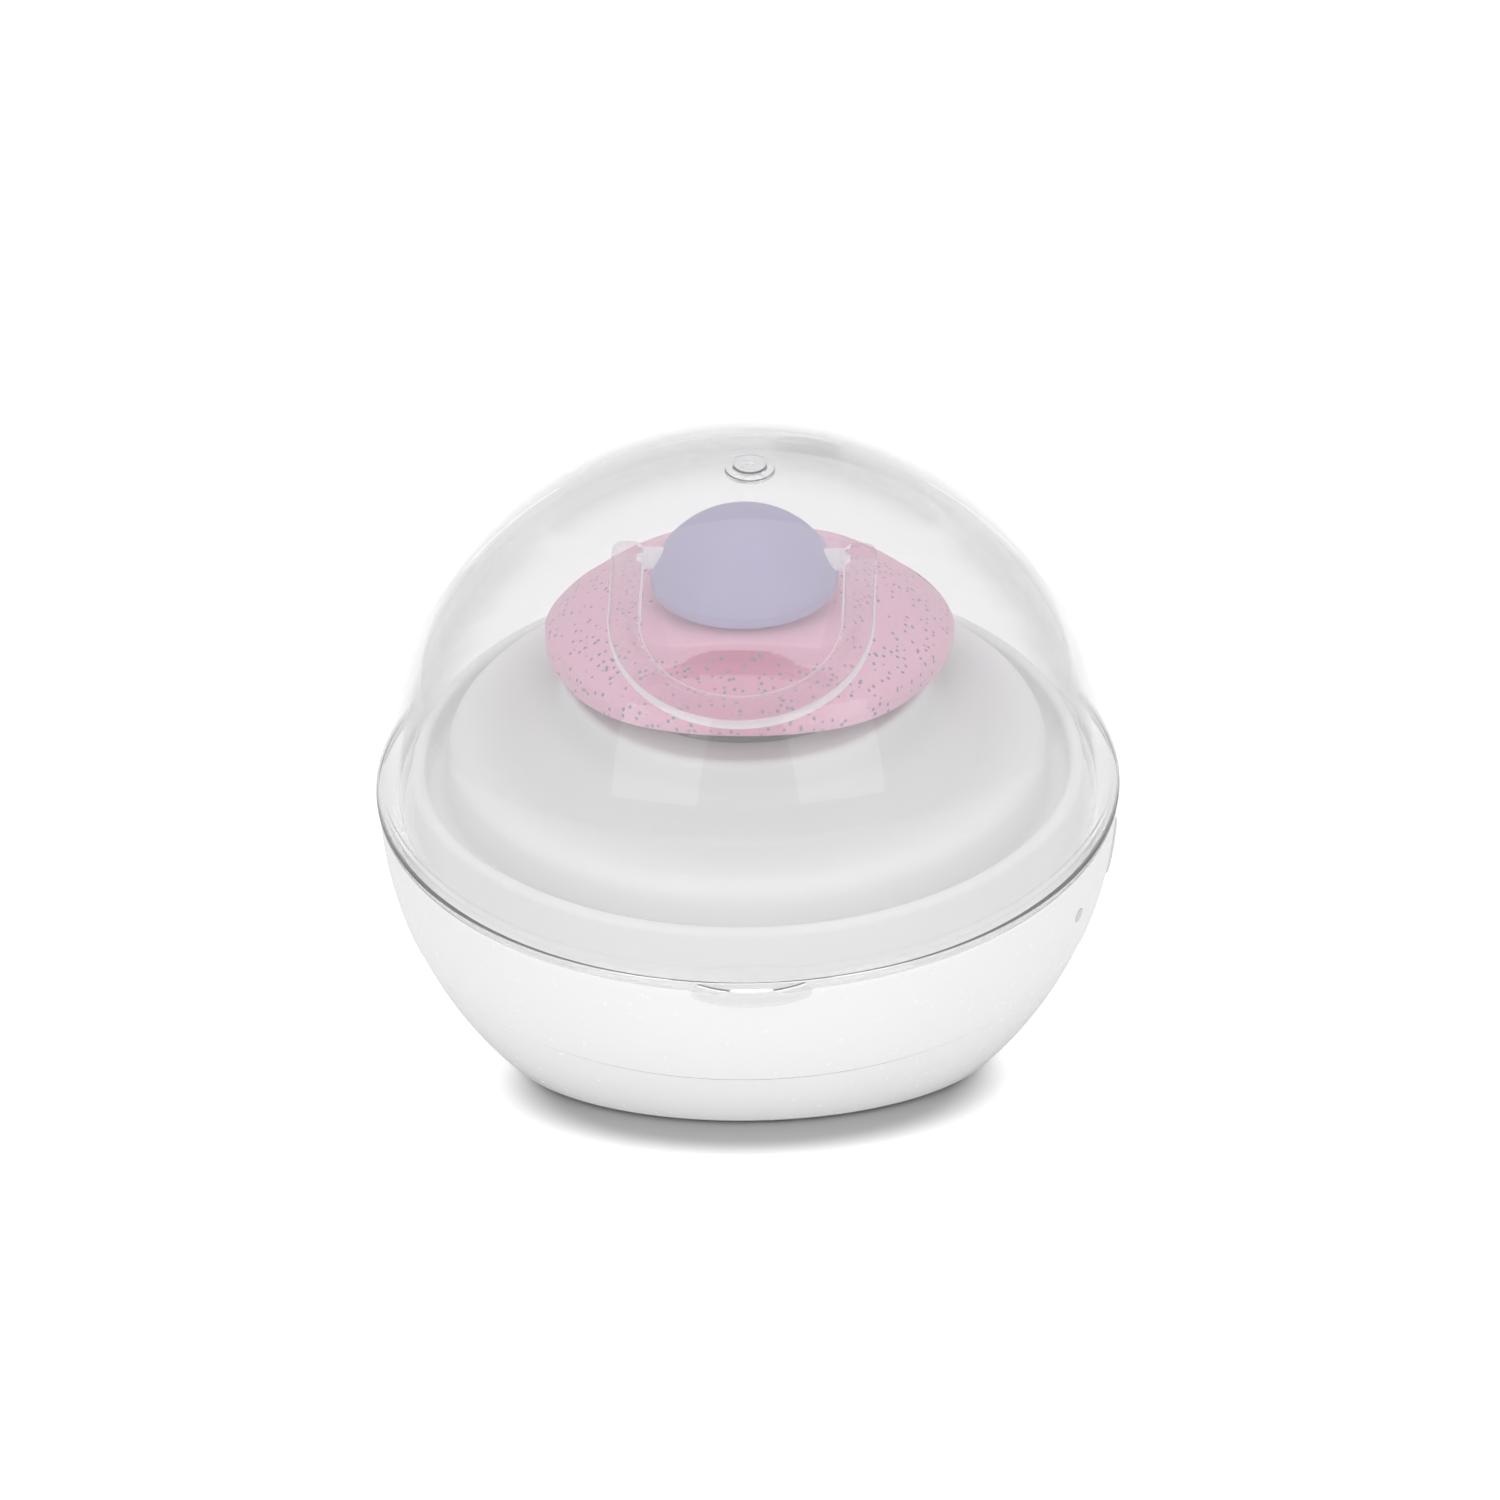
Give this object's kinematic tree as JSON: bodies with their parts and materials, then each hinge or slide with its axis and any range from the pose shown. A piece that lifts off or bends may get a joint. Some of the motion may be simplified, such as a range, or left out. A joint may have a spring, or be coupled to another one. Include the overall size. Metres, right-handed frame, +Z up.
{
  "type": "pacifier sterilizer case",
  "caption": "Ball-shaped ultraviolet case with a clear hinged dome that holds one pacifier teat down over a lamp well.",
  "frame": {"origin": "centre of the non-slip pad's underside, on the floor", "axes": "+Z up, front (thumb tab) towards -Y, power button side +X"},
  "size_m": [0.0846, 0.088, 0.0732],
  "materials": {
    "clear_plastic": "clear, polished polycarbonate",
    "white_gloss": "glossy white moulding",
    "white_tray": "satin white moulding",
    "grey_rubber": "matt silicone rubber",
    "steel": "bright steel",
    "bright_metal": "metallised reflector",
    "quartz": "clear quartz",
    "white_board": "white solder mask",
    "green_board": "green solder mask",
    "black_plastic": "matt black",
    "lamp_ceramic": "lamp package",
    "magnet_plating": "nickel plating",
    "button_white": "glossy white",
    "light_guide": "clear light guide",
    "battery_wrap": "silver pouch",
    "tape": "double-sided foam tape",
    "plug_white": "natural nylon",
    "lead_red": "insulated leads",
    "coil_dark": "ferrite",
    "teat_silicone": "clear silicone",
    "pink_shield": "matt dusty pink",
    "pale_knob": "satin pale lilac",
    "pale_ring": "satin pale lilac"
  },
  "bodies": {
    "base": {"hinge_pin": "steel", "outer_band": "white_gloss", "bottom_cup": "white_gloss", "grip_pad": "grey_rubber", "case_screws": "steel", "inner_tray": "white_tray", "reflector_cup": "bright_metal", "window_gasket": "grey_rubber", "uv_window": "quartz", "window_spacer": "black_plastic", "led_board": "white_board", "uv_leds": "lamp_ceramic", "lamp_screws": "steel", "main_board": "green_board", "usb_socket": "steel", "push_switch": "black_plastic", "status_led": "lamp_ceramic", "status_light": "light_guide", "lid_sensor": "black_plastic", "controller_chip": "black_plastic", "charger_chip": "black_plastic", "boost_coil": "coil_dark", "battery": "battery_wrap", "battery_tape": "tape", "battery_plug": "plug_white", "battery_leads": "lead_red"},
    "lid": {"lid_dome": "clear_plastic", "lid_magnet": "magnet_plating"},
    "power_button": {"power_button": "button_white", "switch_plunger": "black_plastic"},
    "pacifier": {"pacifier_shield": "pink_shield", "pacifier_teat": "teat_silicone", "pacifier_knob": "pale_knob"},
    "pacifier_ring": {"pacifier_ring": "pale_ring"}
  },
  "joints": [
    {"name": "lid_hinge", "type": "hinge", "parent": "base", "child": "lid", "pos_m": [0, 0.04328, 0.04319], "axis": [-1, 0, 0], "range_deg": [0, 105]},
    {"name": "button_press", "type": "slide", "parent": "base", "child": "power_button", "axis": [-1, 0, 0], "range_m": [0, 0.0005], "stiffness_N_per_m": 400},
    {"name": "pacifier_lift", "type": "slide", "parent": "base", "child": "pacifier", "axis": [0, -0.284, 0.9588], "range_m": [0, 0.003]},
    {"name": "ring_swing", "type": "hinge", "parent": "pacifier", "child": "pacifier_ring", "pos_m": [0, -0.00832, 0.05929], "axis": [-0.9986, 0.0502, 0.0149], "range_deg": [0, 16]}
  ]
}
